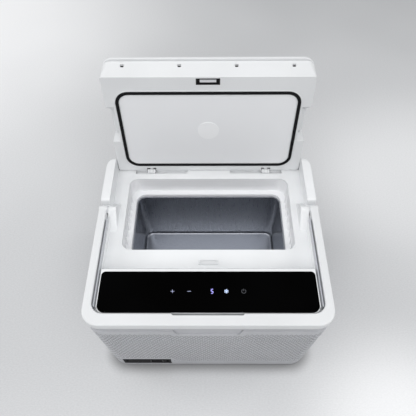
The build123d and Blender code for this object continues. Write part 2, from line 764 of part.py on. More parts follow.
def fan_rotor():
    """Hub, shaft and pitched blades, running on the axis of the shroud."""
    x0 = fan_x - fan_frame_depth / 2 + 1
    x1 = fan_x + fan_frame_depth / 2 - 6.8
    hub = x_rod(x0, x1, fan_y, fan_z, fan_hub_radius)
    hub = fillet(hub.edges().group_by(Axis.X)[0], 3)
    rotor = hub + x_rod(x1 - 2, x1 + 5.2, fan_y, fan_z, fan_shaft_radius)
    span = fan_radius - 1.5 - fan_hub_radius + 2
    middle = (x0 + x1) / 2
    for i in range(blade_count):
        root = Plane((0, 0, fan_hub_radius - 2)) * Rot(0, 0, blade_root_pitch) * Rectangle(*blade_root)
        tip = Plane((0, 0, fan_hub_radius - 2 + span)) * Rot(0, 0, blade_tip_pitch) * Rectangle(*blade_tip)
        blade = loft([root, tip]) & x_rod(-30, 30, 0, 0, fan_radius - fan_tip_gap)
        blade = blade & slab(-(x1 - x0) / 2, (x1 - x0) / 2, -60, 60, -60, 60)
        rotor += Pos(middle, fan_y, fan_z) * Rot(360 / blade_count * i, 0, 0) * blade
    return rotor


compressor_y = bay_y + 4.0
compressor_z0 = z_bay + 14.0
bracket_half = (48.0, 42.0)
grommet_height = 6.0
bracket_thickness = 2.0
stud_radius = 2.5
grommet_places = [(compressor_x + dx, compressor_y + dy) for dx in (-40, 40) for dy in (-32, 32)]


def compressor():
    """Hermetic shell with its weld seam, on a pressed foot plate, with two stub tubes."""
    shell = z_rod(compressor_x, compressor_y, compressor_z0, compressor_z0 + compressor_height,
                  compressor_radius - compressor_lip)
    shell = fillet(shell.edges().filter_by(GeomType.CIRCLE), compressor_dome)
    seam_z = compressor_z0 + compressor_height * 0.55
    shell += z_rod(compressor_x, compressor_y, seam_z - 3, seam_z + 3, compressor_radius)
    top = z_bay + grommet_height + bracket_thickness
    foot = slab(compressor_x - bracket_half[0], compressor_x + bracket_half[0],
                compressor_y - bracket_half[1], compressor_y + bracket_half[1],
                z_bay + grommet_height, top)
    foot = fillet(foot.edges().filter_by(Axis.Z), 8)
    shell += foot + z_rod(compressor_x, compressor_y, top, compressor_z0 + 16, 24)
    for x, y in grommet_places:
        shell -= z_rod(x, y, z_bay, top + 1, stud_radius + 0.4)
    for angle in (160, 200):
        x = compressor_x + (compressor_radius - 6) * math.cos(math.radians(angle))
        y = compressor_y + (compressor_radius - 6) * math.sin(math.radians(angle))
        shell += x_rod(x - 14, x, y, seam_z - 20, stub_radius)
    return shell


def compressor_grommets():
    rings = Part()
    for x, y in grommet_places:
        rings += z_rod(x, y, z_bay, z_bay + grommet_height, 7)
        rings -= z_rod(x, y, z_bay - 1, z_bay + 20, stud_radius)
    return rings


def compressor_studs():
    """Studs up from the base plate through grommet and foot, each with its nut."""
    studs = Part()
    top = z_bay + grommet_height + bracket_thickness
    for x, y in grommet_places:
        studs += z_rod(x, y, z_bay - plate_thickness, top + 7, stud_radius)
        studs += Pos(x, y, top) * extrude(RegularPolygon(4.4, 6), 4)
    return studs


def filter_drier():
    """Copper drier between condenser and coil, held upright against the partition."""
    x = -40.0
    y = bay_rear - 11
    body = z_rod(x, y, z_base + 60, z_base + 130, drier_radius)
    body = fillet(body.edges().filter_by(GeomType.CIRCLE), 5)
    body += z_rod(x, y, z_base + 46, z_base + 146, drier_tube_radius)
    clip = slab(x - 10, x + 10, y + 8.2, bay_rear, z_base + 88, z_base + 102)
    return body + clip + slab(x - 3, x + 3, y + 5, y + 9, z_base + 90, z_base + 100)


# ---------------------------------------------------------------- lid
def lid_front(t, draw_in=0.0):
    """Distance from the hinge axis to the slanted front face at height t above the underside."""
    return lid_length + lid_overhang * t / lid_thickness - draw_in


def lid_section(t, inset=0.0):
    """Plan of the lid at height t above its underside."""
    share = t / lid_thickness
    radius = lid_low_radius + (lid_top_radius - lid_low_radius) * share
    y0 = y_hinge - lid_front(t, inset)
    y1 = y_hinge - lid_heel - inset
    sketch = Pos(0, (y0 + y1) / 2) * Rectangle(2 * (lid_half - inset), y1 - y0)
    sketch = fillet(sketch.vertices().group_by(Axis.Y)[0], radius)
    sketch = fillet(sketch.vertices().group_by(Axis.Y)[-1], lid_low_radius)
    return Pos(0, 0, z_hinge + lid_lift + t) * sketch


def lid_block(t0, t1, inset=0.0):
    return loft([lid_section(t0, inset), lid_section(t1, inset)])


def lid_slab(x0, x1, s0, s1, t0, t1):
    """Block in lid measures: s from the hinge axis to the front, t up from the underside."""
    z = z_hinge + lid_lift
    return slab(x0, x1, y_hinge - s1, y_hinge - s0, z + t0, z + t1)


def side_pocket():
    """Room for a pivot boss: square at the rear, leaning like the boss at the front."""
    z = z_hinge + lid_lift
    y0 = y_hinge - pocket_front
    y1 = y_hinge - pocket_rear
    top = z + lid_thickness - cover_wall
    side = [(y1, z - 1), (y1, top), (y0 + pocket_lean, top), (y0, z - 1)]
    return x_prism(side, pocket_inner, beyond)


cavity_half = pocket_inner - lid_wall


def lid_cavity(draw_in=0.0):
    """Foam space of the lid: full width ahead of and behind the pockets, narrower between them."""
    t0 = lid_wall + draw_in
    t1 = frame_top
    space = lid_block(lid_wall, frame_top, lid_wall + draw_in)
    centre = lid_slab(-cavity_half + draw_in, cavity_half - draw_in, 0, beyond, t0, t1)
    rear = lid_slab(-beyond, beyond, 0, pocket_rear - lid_wall - draw_in, t0, t1)
    front = lid_slab(-beyond, beyond, pocket_front + lid_wall + draw_in, beyond, t0, t1)
    return space & (centre + rear + front)


def gasket_ring(half, s0, s1, t0, t1, radius, width):
    z = z_hinge + lid_lift
    outer = round_slab(half, y_hinge - s1, y_hinge - s0, z + t0, z + t1, radius)
    inner = round_slab(half - width, y_hinge - s1 + width, y_hinge - s0 - width, z + t0 - 1, z + t1 + 1,
                       radius - width)
    return outer - inner


liner_half = gasket_half - gasket_width - 1.5
liner_s0 = gasket_rear + gasket_width + 1.5
liner_s1 = gasket_front - gasket_width - 1.5
liner_radius = gasket_radius - gasket_width - 1.5


def screw_axis(x):
    """Place and direction of a front screw: square to the slanted face, head at the face."""
    lean = math.degrees(math.atan2(lid_overhang, lid_thickness))
    y = y_hinge - lid_front(lid_screw_rise)
    return Pos(x, y, z_hinge + lid_lift + lid_screw_rise) * Rot(-90 - lean, 0, 0)


lid_screw_x = [lid_screw_pitch * (i - 1.5) for i in range(4)]


def lid_frame():
    frame = lid_block(0, frame_top)
    frame -= lid_cavity()
    frame -= both_sides(side_pocket())
    frame -= gasket_ring(gasket_half, gasket_rear, gasket_front, -1, gasket_seat, gasket_radius, gasket_width)
    z = z_hinge + lid_lift
    frame -= round_slab(liner_half + seat_gap, y_hinge - liner_s1 - seat_gap, y_hinge - liner_s0 + seat_gap,
                        z - 1, z + lid_wall + 1, liner_radius)
    out = bead_gap + bead_width
    frame += gasket_ring(gasket_half + out, gasket_rear - out, gasket_front + out, -bead_height, 0.5,
                         gasket_radius + out, bead_width)
    # latch window, hinge notches and front screws
    w, d = latch_bezel_size
    s = latch_from_hinge
    frame -= lid_slab(-w / 2 + 1.5, w / 2 - 1.5, s - d / 2 + 1, s + d / 2 - 1, -1, lid_wall + 1)
    frame -= lid_slab(-w / 2, w / 2, s - d / 2, s + d / 2, -1, 1.2)
    clear = hinge_barrel_radius + hinge_room
    notch = lid_slab(hinge_x - hinge_notch_half, hinge_x + hinge_notch_half, -5, clear,
                     -3, clear - lid_lift + 0.5)
    frame -= both_sides(notch)
    for x in lid_screw_x:
        post = screw_axis(x) * Pos(0, 0, 8) * Cylinder(lid_screw_boss, 16)
        frame += post & lid_block(lid_wall, frame_top, 0.5)
        frame -= screw_axis(x) * Pos(0, 0, 1) * Cylinder(3.2, 4)
        frame -= screw_axis(x) * Pos(0, 0, 8) * Cylinder(1.6, 18)
    return frame


def front_screws():
    screws = Part()
    for x in lid_screw_x:
        screws += screw_axis(x) * Pos(0, 0, 3) * pan_screw(1.6, 2.9, 1.5, 12)
    return screws


def cover_block(t0, t1):
    """Upright edge of the cover; its larger front corners run out into the sides of the frame."""
    radius = lid_low_radius + (lid_top_radius - lid_low_radius) * cover_level / lid_thickness + cover_step
    sketch = Pos(0, y_hinge - (cover_front + lid_heel) / 2) * Rectangle(2 * lid_half, cover_front - lid_heel)
    sketch = fillet(sketch.vertices().group_by(Axis.Y)[0], radius)
    sketch = fillet(sketch.vertices().group_by(Axis.Y)[-1], lid_low_radius)
    return Pos(0, 0, z_hinge + lid_lift + t0) * extrude(sketch, t1 - t0)


def lid_cover():
    cover = cover_block(cover_level, lid_thickness)
    cover = fillet(cover.faces().sort_by(Axis.Z)[-1].edges(), cover_round)
    cover = fillet(cover.faces().sort_by(Axis.Z)[0].edges(), cover_low_round)
    cover += lid_block(frame_top, cover_level, cover_inset)
    cover -= lid_block(frame_top, lid_thickness - cover_wall, cover_inset + cover_wall)
    return cover - both_sides(side_pocket())


def lid_liner():
    """Inner panel of the lid with the opening of the foam plug."""
    z = z_hinge + lid_lift
    panel = round_slab(liner_half, y_hinge - liner_s1, y_hinge - liner_s0, z, z + lid_wall,
                       liner_radius - 0.2)
    lap = 3.0
    panel += round_slab(liner_half + lap, y_hinge - liner_s1 - lap, y_hinge - liner_s0 + lap, z + lid_wall,
                        z + lid_wall + 2, liner_radius + lap)
    return panel - z_rod(0, y_hinge - plug_from_hinge, z - 1, z + 10, plug_radius - plug_rim)


def fill_plug():
    z = z_hinge + lid_lift
    y = y_hinge - plug_from_hinge
    plug = z_rod(0, y, z - 0.8, z, plug_radius)
    return plug + z_rod(0, y, z, z + lid_wall + 2, plug_radius - plug_rim)


def lid_foam():
    z = z_hinge + lid_lift
    foam = lid_cavity(fit_gap)
    lap = 3.0 + fit_gap
    foam -= round_slab(liner_half + lap, y_hinge - liner_s1 - lap, y_hinge - liner_s0 + lap, z,
                       z + lid_wall + 2, liner_radius + lap)
    w, d = latch_bezel_size
    s = latch_from_hinge
    foam -= lid_slab(-w / 2 - 1, w / 2 + 1, s - d / 2 - 1, s + d / 2 + 12, 0, 21)
    clear = hinge_barrel_radius + hinge_room
    room = hinge_notch_half + lid_wall + 1
    foam -= both_sides(lid_slab(hinge_x - room, hinge_x + room, -5, leaf_length + 3, 0, clear + lid_wall))
    for x in lid_screw_x:
        foam -= screw_axis(x) * Pos(0, 0, 10) * Cylinder(lid_screw_boss + 2 * fit_gap, 24)
    return foam


def lid_gasket():
    play = gasket_play
    return gasket_ring(gasket_half - play, gasket_rear + play, gasket_front - play, -lid_lift + gasket_clear,
                       gasket_seat, gasket_radius - play, gasket_width - 2 * play)


def latch_bezel():
    """Black cup in the underside that takes the catch block of the deck."""
    w, d = latch_bezel_size
    rw, rd = latch_recess_size
    s = latch_from_hinge
    tw, td = latch_tongue_size
    cup = lid_slab(-w / 2 + 0.1, w / 2 - 0.1, s - d / 2 + 0.1, s + d / 2 - 0.1, 0, 1.2)
    cup += lid_slab(-w / 2 + 1.6, w / 2 - 1.6, s - d / 2 + 1.1, s + d / 2 - 1.1, 1.2, latch_bezel_height)
    cup -= lid_slab(-rw / 2 + 0.2, rw / 2 - 0.2, s - rd / 2 + 0.2, s + rd / 2 - 0.2, -1, latch_depth)
    cup -= lid_slab(-tw / 2 - 0.3, tw / 2 + 0.3, s - td / 2 - 0.3, s + td / 2 + 0.3, latch_depth - 1,
                    latch_chamber_top)
    return cup


def latch_tongue():
    tw, td = latch_tongue_size
    s = latch_from_hinge
    return lid_slab(-tw / 2, tw / 2, s - td / 2, s + td / 2, latch_depth - latch_tongue_reach,
                    latch_chamber_top - latch_travel - 1.2)


def catch_block():
    """Block on the deck with the slot that the latch tongue drops into."""
    w, d, h = catch_size
    tw, td = latch_tongue_size
    y = y_hinge - latch_from_hinge
    block = slab(-w / 2, w / 2, y - d / 2, y + d / 2, z_deck, z_deck + h)
    block = fillet(block.edges().filter_by(Axis.Z), 1.5)
    block = chamfer(block.edges().group_by(Axis.Z)[-1], 0.6)
    return block - slab(-tw / 2 - 0.6, tw / 2 + 0.6, y - td / 2 - 0.6, y + td / 2 + 0.6,
                        z_deck + h - 2.2, z_deck + h + 1)


# ---------------------------------------------------------------- hinge
def hinge_brackets():
    """Body-side ears on a foot in each hinge well."""
    inner = hinge_barrel_length / 2 + hinge_side_gap
    ears = Part()
    for x in (hinge_x - inner - hinge_ear_width, hinge_x + inner):
        ears += x_rod(x, x + hinge_ear_width, y_hinge, z_hinge, hinge_barrel_radius)
        ears += slab(x, x + hinge_ear_width, y_hinge - hinge_barrel_radius, y_hinge + hinge_barrel_radius,
                     z_deck - well_depth, z_hinge)
    ears += slab(hinge_x - inner - hinge_ear_width, hinge_x + inner + hinge_ear_width,
                 y_hinge - hinge_barrel_radius, y_hinge + hinge_barrel_radius,
                 z_deck - well_depth, z_hinge - hinge_barrel_radius - 0.5)
    ears -= x_rod(hinge_x - 20, hinge_x + 20, y_hinge, z_hinge, hinge_pin_radius)
    return both_sides(ears)


def hinge_pins():
    half = hinge_barrel_length / 2 + hinge_side_gap + hinge_ear_width
    pin = x_rod(hinge_x - half, hinge_x + half + 1, y_hinge, z_hinge, hinge_pin_radius)
    return both_sides(pin + x_rod(hinge_x - half - 1.2, hinge_x - half, y_hinge, z_hinge, hinge_head_radius))


def hinge_leaves():
    """Lid-side barrel whose leaf lies on the inner face of the lid's bottom wall."""
    half = hinge_barrel_length / 2
    leaf = x_rod(hinge_x - half, hinge_x + half, y_hinge, z_hinge, hinge_barrel_radius)
    leaf += lid_slab(hinge_x - half, hinge_x + half, 1, hinge_barrel_radius, -lid_lift, 2 * lid_wall)
    leaf += lid_slab(hinge_x - half, hinge_x + half, 1, leaf_length, lid_wall, 2 * lid_wall)
    leaf -= x_rod(hinge_x - 20, hinge_x + 20, y_hinge, z_hinge, hinge_pin_radius + running_gap)
    return both_sides(leaf)


# ---------------------------------------------------------------- handle
handle_screw_x = (-130, -75, 75, 130)
handle_screw_radius = 1.4
handle_screw_boss = 3.4
y_bar_inner = y_front + bar_width
y_handle_screw = y_front + bar_width / 2
y_hollow_rear = y_pivot - ear_radius - 8
y_rib_front = y_bar_inner + rib_start
y_rib_rear = y_pivot - rib_stop
rib_foot_height = 1.5


def handle_plan(inset):
    """U-shaped plan of the handle, its wall drawn in by inset; open at the pivots."""
    far = y_pivot + 60
    near = y_front + inset
    outer = Pos(0, (far + near) / 2) * Rectangle(body_width - 2 * inset, far - near)
    outer = fillet(outer.vertices().group_by(Axis.Y)[0], handle_outer_radius - inset)
    near = y_bar_inner - inset
    inner = Pos(0, (far + near) / 2) * Rectangle(2 * (x_arm + inset), far - near)
    inner = fillet(inner.vertices().group_by(Axis.Y)[0], handle_inner_radius + inset)
    return outer - inner


def rib_foot(x0, play):
    """Strip that carries the rib under the inner wall of an arm."""
    return slab(x0, x_arm + handle_wall + seat_gap + 0.5, y_rib_front - play, y_rib_rear + play,
                z_handle - play, z_handle + rib_foot_height + play)


def handle_outer_shell():
    arms = Pos(0, 0, z_handle) * extrude(handle_plan(0), handle_height)
    arms = fillet(arms.edges().group_by(Axis.Z)[-1], handle_round)
    arms = arms & slab(-beyond, beyond, y_front - 1, y_pivot, z_handle - 1, z_top + 1)
    arms += both_sides(x_rod(x_arm, half_width, y_pivot, z_pivot, ear_radius))
    arms = arms & round_slab(half_width, y_front - 40, y_pivot + ear_radius,
                             z_handle - 1, z_top + 1, arm_end_radius)
    hollow = Pos(0, 0, z_handle - 1) * extrude(handle_plan(handle_wall), handle_height - handle_wall + 1)
    arms -= hollow & slab(-beyond, beyond, y_front, y_hollow_rear, z_handle - 1, z_top)
    arms -= both_sides(rib_foot(x_arm - 1, 0.1))
    z_post = z_handle + handle_wall + seat_gap
    for x in handle_screw_x:
        arms += z_rod(x, y_handle_screw, z_post, z_top - 2, handle_screw_boss)
        arms -= z_rod(x, y_handle_screw, z_handle, z_handle + 10.2, handle_screw_radius)
    # closed wall behind the finger notch
    y_notch = y_bar_inner - notch_depth
    reach = notch_half + handle_wall
    arms += slab(-reach, reach, y_notch - handle_wall, y_bar_inner - 0.5, z_post, z_top - 3)
    mouth = Polygon((-notch_half, y_bar_inner + 1), (notch_half, y_bar_inner + 1),
                    (notch_half - notch_lean, y_notch), (notch_lean - notch_half, y_notch), align=None)
    arms -= Pos(0, 0, z_top - notch_height) * extrude(mouth, notch_height + 1, dir=(0, 0, 1))
    bore = x_rod(x_arm - 1, beyond, y_pivot, z_pivot, pivot_pin_radius + pivot_bush_wall)
    bore += x_rod(half_width - pivot_head_depth, beyond, y_pivot, z_pivot, pivot_head_radius + 0.4)
    return arms - both_sides(bore)


def handle_inner_shell():
    """Closing plate in the underside of the arms with an upright rib along each arm."""
    inset = handle_wall + seat_gap
    plate = Pos(0, 0, z_handle) * extrude(handle_plan(inset), handle_wall)
    plate = plate & slab(-beyond, beyond, y_front, y_hollow_rear - seat_gap, z_handle - 1, z_top)
    foot = rib_foot(x_arm - rib_gap - rib_width, 0)
    rib = slab(x_arm - rib_gap - rib_width, x_arm - rib_gap, y_rib_front, y_rib_rear, z_handle,
               z_top - rib_drop)
    shell = plate + both_sides(foot + rib)
    for x in handle_screw_x:
        shell -= z_rod(x, y_handle_screw, z_handle - 1, z_top - 3, handle_screw_radius)
        shell -= z_rod(x, y_handle_screw, z_handle - 1, z_handle + 1.2, 2.6)
    return shell


def handle_bushes():
    """Flanged bushes in the ears; the flange keeps the arm off the boss."""
    bush = x_rod(x_arm, half_width - pivot_head_depth, y_pivot, z_pivot, pivot_pin_radius + pivot_bush_wall)
    bush += x_rod(boss_outer + 0.4, x_arm, y_pivot, z_pivot, bush_flange_radius)
    return both_sides(bush - x_rod(boss_outer, beyond, y_pivot, z_pivot, pivot_pin_radius + running_gap))


def handle_pins():
    """Pivot pins pressed into the bosses, with a low head in the ear's counterbore."""
    head = half_width - pivot_head_depth + fit_gap
    pin = x_rod(boss_inner + 2, half_width - 1, y_pivot, z_pivot, pivot_pin_radius)
    return both_sides(pin + x_rod(head, half_width - 0.8, y_pivot, z_pivot, pivot_head_radius))


def handle_screws():
    """Screws up through the closing plate into the bosses of the bar."""
    screws = Part()
    for x in handle_screw_x:
        screws += Pos(x, y_handle_screw, z_handle + 1.2) * pan_screw(handle_screw_radius, 2.6, 1.2, 9)
    return screws


def panel_tray():
    """Black tray under the glass that holds the board and the light guides."""
    z1 = z_top - glass_thickness
    tray = round_slab(tray_half, y_tray_front, y_tray_rear, z1 - tray_depth, z1, tray_radius)
    tray -= round_slab(tray_half - tray_wall, y_tray_front + tray_wall, y_tray_rear - tray_wall,
                       z1 - tray_depth - 1, z1 - tray_wall, tray_radius - tray_wall)
    for x in (-board_half + 6, board_half - 6):
        for y in (icon_y - 13, icon_y + 11):
            tray += z_rod(x, y, z1 - board_drop, z1 - tray_wall, 3)
    for x in icon_x:
        tray -= slab(x - 4.5, x + 4.5, icon_y - 7, icon_y + 7, z1 - 3, z1 + 1)
    return tray


icon_x = (-58.0, -31.0, 6.0, 29.0, 57.0)
icon_y = y_front + 57.5


def control_board():
    z1 = z_top - glass_thickness - board_drop
    board = slab(-board_half, board_half, icon_y - 18, icon_y + 16, z1 - board_thickness, z1)
    board += slab(-60, -36, icon_y - 12, icon_y - 4, z1 - board_thickness - 3, z1 - board_thickness)
    board += slab(20, 44, icon_y - 10, icon_y + 4, z1 - board_thickness - 3, z1 - board_thickness)
    return board


def display_module():
    """Digit and icon light guides standing on the board, up to the glass."""
    z1 = z_top - glass_thickness
    lights = Part()
    for x in icon_x:
        lights += slab(x - 4, x + 4, icon_y - 6.5, icon_y + 6.5, z1 - board_drop, z1)
    return lights


# ---------------------------------------------------------------- write one file per piece
lid_nodes = {
    "lid_frame": lid_frame(),
    "lid_cover": lid_cover(),
    "lid_liner": lid_liner(),
    "lid_foam": lid_foam(),
    "lid_fill_plug": fill_plug(),
    "lid_gasket": lid_gasket(),
    "lid_front_screws": front_screws(),
    "latch_bezel": latch_bezel(),
    "latch_tongue": latch_tongue(),
    "hinge_leaves": hinge_leaves(),
}

nodes = {
    "outer_shell": outer_shell(),
    "rubber_feet": rubber_feet(),
    "base_plate": base_plate(),
    "base_plate_screws": plate_screws(),
    "top_frame": top_frame(),
    "cavity_liner": cavity_liner(),
    "inner_tank": inner_tank(),
    "evaporator_coil": evaporator_coil(),
    "foam_insulation": foam_insulation(),
    "bay_wall": bay_wall(),
    "left_vent_grille": vent_grille(-1),
    "right_vent_grille": vent_grille(1),
    "inlet_plate": inlet_plate(),
    "inlet_screws": inlet_screws(),
    "power_socket": power_socket(),
    "power_board": power_board(),
    "condenser": condenser(),
    "fan_shroud": fan_shroud(),
    "fan_frame": fan_frame(),
    "fan_rotor": fan_rotor(),
    "compressor": compressor(),
    "compressor_grommets": compressor_grommets(),
    "compressor_studs": compressor_studs(),
    "filter_drier": filter_drier(),
    "control_glass": control_glass(),
    "panel_tray": panel_tray(),
    "control_board": control_board(),
    "display_module": display_module(),
    "catch_block": catch_block(),
    "hinge_brackets": hinge_brackets(),
    "hinge_pins": hinge_pins(),
    "handle_outer_shell": handle_outer_shell(),
    "handle_inner_shell": handle_inner_shell(),
    "handle_bushes": handle_bushes(),
    "handle_pins": handle_pins(),
    "handle_screws": handle_screws(),
}
for name, shape in lid_nodes.items():
    nodes[name] = swing_open(shape)

os.makedirs("parts", exist_ok=True)
for name, shape in nodes.items():
    export_step(shape, "parts/" + name + ".step")
    print(name, len(shape.solids()), round(shape.volume))
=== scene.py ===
import json
import math

import bmesh
import bpy
from mathutils import Matrix, Vector


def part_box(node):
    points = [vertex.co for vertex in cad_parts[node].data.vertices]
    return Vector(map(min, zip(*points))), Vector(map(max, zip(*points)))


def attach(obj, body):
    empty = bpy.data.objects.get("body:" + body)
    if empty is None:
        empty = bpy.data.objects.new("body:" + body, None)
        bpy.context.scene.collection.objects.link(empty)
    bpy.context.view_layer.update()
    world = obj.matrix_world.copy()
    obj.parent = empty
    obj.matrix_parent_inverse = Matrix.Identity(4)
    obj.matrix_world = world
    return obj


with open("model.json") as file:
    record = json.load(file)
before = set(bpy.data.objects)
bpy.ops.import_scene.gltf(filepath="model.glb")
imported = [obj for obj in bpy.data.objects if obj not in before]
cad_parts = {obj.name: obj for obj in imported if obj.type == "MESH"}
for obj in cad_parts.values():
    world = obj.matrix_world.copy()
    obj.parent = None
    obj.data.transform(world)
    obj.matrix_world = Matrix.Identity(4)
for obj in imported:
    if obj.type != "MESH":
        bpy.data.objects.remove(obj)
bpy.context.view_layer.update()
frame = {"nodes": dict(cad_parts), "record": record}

# Portable vaccine cooler: finishes, fine surface detail, touch icons, lights and camera.
# Metres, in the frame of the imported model: +X right, +Y rear, +Z up, floor at Z = 0.

NODES = frame["nodes"]
MM = 0.001

# ---------------------------------------------------------------- levels read from the frame
HANDLE_LOW, HANDLE_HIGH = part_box("handle_outer_shell")
SHELL_LOW, SHELL_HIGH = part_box("outer_shell")
GLASS_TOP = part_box("control_glass")[1].z
TOP = HANDLE_HIGH.z                      # top of the folded handle
FRONT = HANDLE_LOW.y
HALF_WIDTH = HANDLE_HIGH.x
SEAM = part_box("foam_insulation")[1].z
DRAFT = math.tan(math.radians(2.0))      # lean of the outer walls
CORNER_RADIUS = 28 * MM                  # corners of the body in plan


def wall_inset(z):
    """How far the drafted outer wall stands in at height z."""
    return (TOP - z) * DRAFT


REAR = SHELL_HIGH.y + wall_inset(SEAM)
HALF_DEPTH = (REAR - FRONT) / 2
MID_Y = (REAR + FRONT) / 2


# ---------------------------------------------------------------- materials
SLOW_SCALE = 9.0             # noise scales: slow change of tone, change of gloss, streaks of metal
GLOSS_SCALE = 40.0
STREAK_SCALE = 60.0
FINE_DEPTH = 0.2 * MM        # bump depth of moulded grain and of streaks
COAT_ROUGHNESS = 0.15
CELL_SCALE = 450.0           # cells of the foam
CELL_DEPTH = 0.6 * MM
TRACK_SCALE = 120.0          # tracks of the boards


def new_material(name, color, roughness, metallic=0.0):
    """A Principled material and its shader."""
    material = bpy.data.materials.new(name)
    material.use_nodes = True
    shader = material.node_tree.nodes["Principled BSDF"]
    shader.inputs["Base Color"].default_value = (*color, 1)
    shader.inputs["Roughness"].default_value = roughness
    shader.inputs["Metallic"].default_value = metallic
    return material, shader


def coordinates(tree, stretch=(1, 1, 1)):
    """Object coordinates, stretched along an axis for brushed or drawn surfaces."""
    source = tree.nodes.new("ShaderNodeTexCoord")
    mapping = tree.nodes.new("ShaderNodeMapping")
    mapping.inputs["Scale"].default_value = stretch
    tree.links.new(source.outputs["Object"], mapping.inputs["Vector"])
    return mapping.outputs["Vector"]


def noise(tree, scale, detail, stretch=(1, 1, 1), rough=0.55):
    """Fractal noise in object coordinates."""
    node = tree.nodes.new("ShaderNodeTexNoise")
    node.inputs["Scale"].default_value = scale
    node.inputs["Detail"].default_value = detail
    node.inputs["Roughness"].default_value = rough
    tree.links.new(coordinates(tree, stretch), node.inputs["Vector"])
    return node.outputs["Fac"]


def ramp(tree, value, low, high, start=0.35, end=0.65, smooth=False):
    """Map a value between start and end to the span low to high."""
    node = tree.nodes.new("ShaderNodeMapRange")
    if smooth:
        node.interpolation_type = "SMOOTHERSTEP"
    node.inputs["From Min"].default_value = start
    node.inputs["From Max"].default_value = end
    node.inputs["To Min"].default_value = low
    node.inputs["To Max"].default_value = high
    tree.links.new(value, node.inputs["Value"])
    return node.outputs["Result"]


def maths(tree, operation, a, b=None):
    """One Math node; a and b are sockets or plain numbers."""
    node = tree.nodes.new("ShaderNodeMath")
    node.operation = operation
    for socket, value in zip(node.inputs, (a, b)):
        if isinstance(value, (int, float)):
            socket.default_value = value
        elif value is not None:
            tree.links.new(value, socket)
    return node.outputs["Value"]


def from_wall(tree, half_x, half_y, middle_y, radius):
    """Distance outwards from an upright wall that is a rounded rectangle in plan, and height."""
    axes = tree.nodes.new("ShaderNodeSeparateXYZ")
    tree.links.new(coordinates(tree), axes.inputs["Vector"])
    over_x = maths(tree, "SUBTRACT", maths(tree, "ABSOLUTE", axes.outputs["X"]), half_x - radius)
    away_y = maths(tree, "ABSOLUTE", maths(tree, "SUBTRACT", axes.outputs["Y"], middle_y))
    over_y = maths(tree, "SUBTRACT", away_y, half_y - radius)
    over_x, over_y = maths(tree, "MAXIMUM", over_x, 0.0), maths(tree, "MAXIMUM", over_y, 0.0)
    squares = maths(tree, "ADD", maths(tree, "MULTIPLY", over_x, over_x),
                    maths(tree, "MULTIPLY", over_y, over_y))
    return maths(tree, "SUBTRACT", maths(tree, "SQRT", squares), radius), axes.outputs["Z"]


def mix_base(tree, shader, factor, color):
    """Feed the base colour from a mix towards a colour; the mix is returned for its other side."""
    mix = tree.nodes.new("ShaderNodeMix")
    mix.data_type = "RGBA"
    mix.inputs["B"].default_value = (*color, 1)
    tree.links.new(factor, mix.inputs["Factor"])
    tree.links.new(mix.outputs["Result"], shader.inputs["Base Color"])
    return mix


def vary_color(tree, shader, value, dark, light):
    """Base colour between two close tones."""
    mix_base(tree, shader, value, light).inputs["A"].default_value = (*dark, 1)


def overlay(tree, shader, mask, color):
    """Lay a second colour over the base colour where the mask is 1."""
    below = shader.inputs["Base Color"].links[0].from_socket
    tree.links.new(below, mix_base(tree, shader, mask, color).inputs["A"])


def add_bump(tree, shader, height, strength, distance):
    """Relief in the shading from a height value."""
    bump = tree.nodes.new("ShaderNodeBump")
    bump.inputs["Strength"].default_value = strength
    bump.inputs["Distance"].default_value = distance
    tree.links.new(height, bump.inputs["Height"])
    tree.links.new(bump.outputs["Normal"], shader.inputs["Normal"])


def tone(color, factor):
    """A lighter or darker version of a colour."""
    return tuple(min(1.0, c * factor) for c in color)


def moulded(name, color, roughness, grain=900.0, strength=0.12, spread=0.03, coat=0.0,
            gloss_play=0.05, specular=0.5):
    """Injection-moulded plastic: fine spark-eroded grain, slow tone and gloss variation."""
    material, shader = new_material(name, color, roughness)
    tree = material.node_tree
    slow = ramp(tree, noise(tree, SLOW_SCALE, 2.0), 0, 1)
    vary_color(tree, shader, slow, tone(color, 1 - spread), tone(color, 1 + spread / 2))
    gloss = ramp(tree, noise(tree, GLOSS_SCALE, 4.0), roughness - gloss_play, roughness + gloss_play)
    tree.links.new(gloss, shader.inputs["Roughness"])
    shader.inputs["Specular IOR Level"].default_value = specular
    add_bump(tree, shader, noise(tree, grain, 2.0), strength, FINE_DEPTH)
    shader.inputs["Coat Weight"].default_value = coat
    shader.inputs["Coat Roughness"].default_value = COAT_ROUGHNESS
    return material


def metal(name, color, roughness, stretch, scale=STREAK_SCALE, strength=0.15, spread=0.15):
    """Brushed or drawn metal: streaks along one axis in tone, gloss and relief."""
    material, shader = new_material(name, color, roughness, 1.0)
    tree = material.node_tree
    streaks = noise(tree, scale, 5.0, stretch, 0.7)
    tones = tone(color, 1 - spread), tone(color, 1 + spread)
    vary_color(tree, shader, ramp(tree, streaks, 0, 1), *tones)
    tree.links.new(ramp(tree, streaks, roughness - 0.06, roughness + 0.12), shader.inputs["Roughness"])
    add_bump(tree, shader, streaks, strength, FINE_DEPTH)
    return material


def foam_material(name, color):
    """Rigid foam: small cells in relief under slow patches of tone."""
    material, shader = new_material(name, color, 0.85)
    tree = material.node_tree
    cells = tree.nodes.new("ShaderNodeTexVoronoi")
    cells.inputs["Scale"].default_value = CELL_SCALE
    tree.links.new(coordinates(tree), cells.inputs["Vector"])
    patches = ramp(tree, noise(tree, 30.0, 4.0), 0, 1)
    vary_color(tree, shader, patches, tone(color, 0.88), tone(color, 1.06))
    add_bump(tree, shader, cells.outputs["Distance"], 0.5, CELL_DEPTH)
    return material


